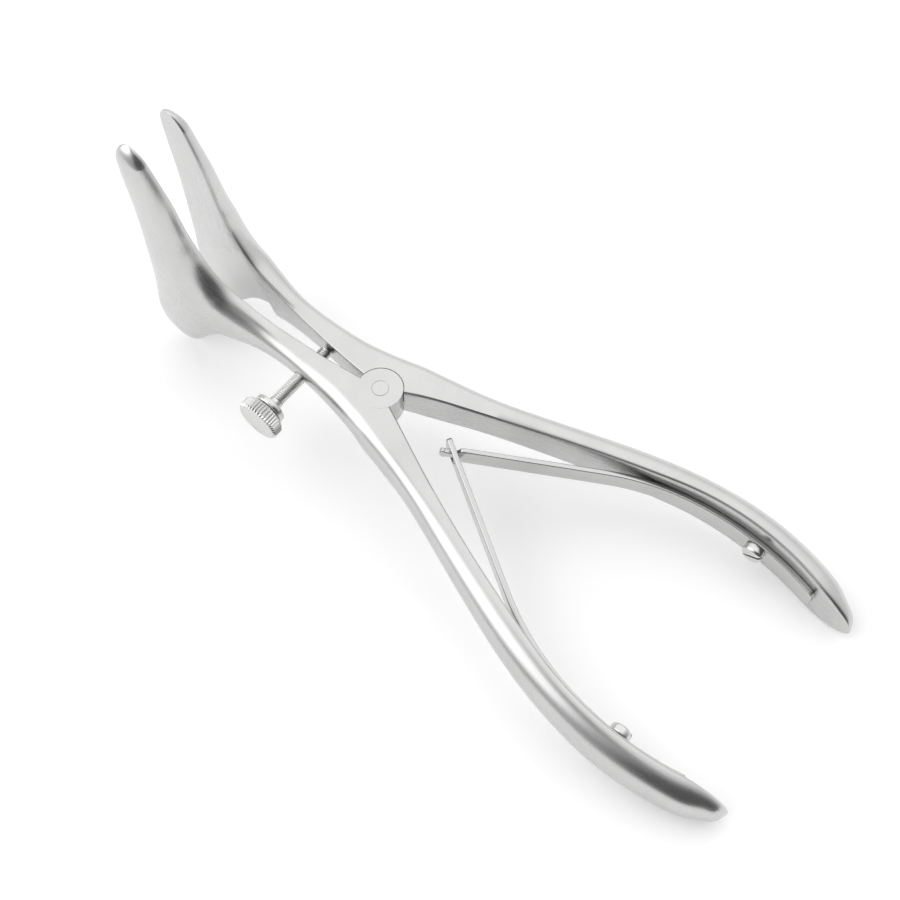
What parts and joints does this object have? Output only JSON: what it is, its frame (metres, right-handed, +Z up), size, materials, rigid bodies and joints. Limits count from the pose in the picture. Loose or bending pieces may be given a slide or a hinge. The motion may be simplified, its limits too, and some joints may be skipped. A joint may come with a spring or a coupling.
{
  "type": "nasal septum speculum",
  "caption": "Hand-held speculum: hinged arms with long upright blades, bowed handles pushed apart by leaf springs, and a knurled set screw that holds the blades open.",
  "frame": {"origin": "the pivot axis, at the height of the table that the instrument lies on", "axes": "+Y from the pivot towards the blades, +Z up along the pivot axis, +X to the arm without the set screw"},
  "size_m": [0.0624, 0.1597, 0.061],
  "materials": {
    "satin_steel": "satin, fine lengthwise grain",
    "turned_steel": "turned and lightly polished",
    "spring_steel": "ground and polished"
  },
  "bodies": {
    "left_body": {"left_arm": "satin_steel", "pivot_rivet": "satin_steel", "left_spring": "spring_steel", "left_spring_screw": "turned_steel"},
    "right_body": {"right_arm": "satin_steel", "right_spring": "spring_steel", "right_spring_screw": "turned_steel"},
    "screw_body": {"set_screw": "turned_steel"},
    "knob_body": {"knurled_knob": "turned_steel"}
  },
  "joints": [
    {"name": "arm_swing", "type": "hinge", "parent": "left_body", "child": "right_body", "pos_m": [0, 0, 0.019], "axis": [0, 0, -1], "range_deg": [-10.65, 20], "deforming": ["left_spring", "right_spring"]},
    {"name": "screw_travel", "type": "slide", "parent": "left_body", "child": "screw_body", "axis": [1, 0, 0], "range_m": [-0.0031, 0.0057]},
    {"name": "knob_spin", "type": "hinge", "parent": "screw_body", "child": "knob_body", "pos_m": [-0.0177, 0.0158, 0.0195], "axis": [1, 0, 0], "range_deg": [-2200, 4080]}
  ],
  "couplings": [
    {"joint": "screw_travel", "follows": "arm_swing", "m_per_rad": 0.01595},
    {"joint": "knob_spin", "follows": "arm_swing", "ratio": 200.43}
  ]
}
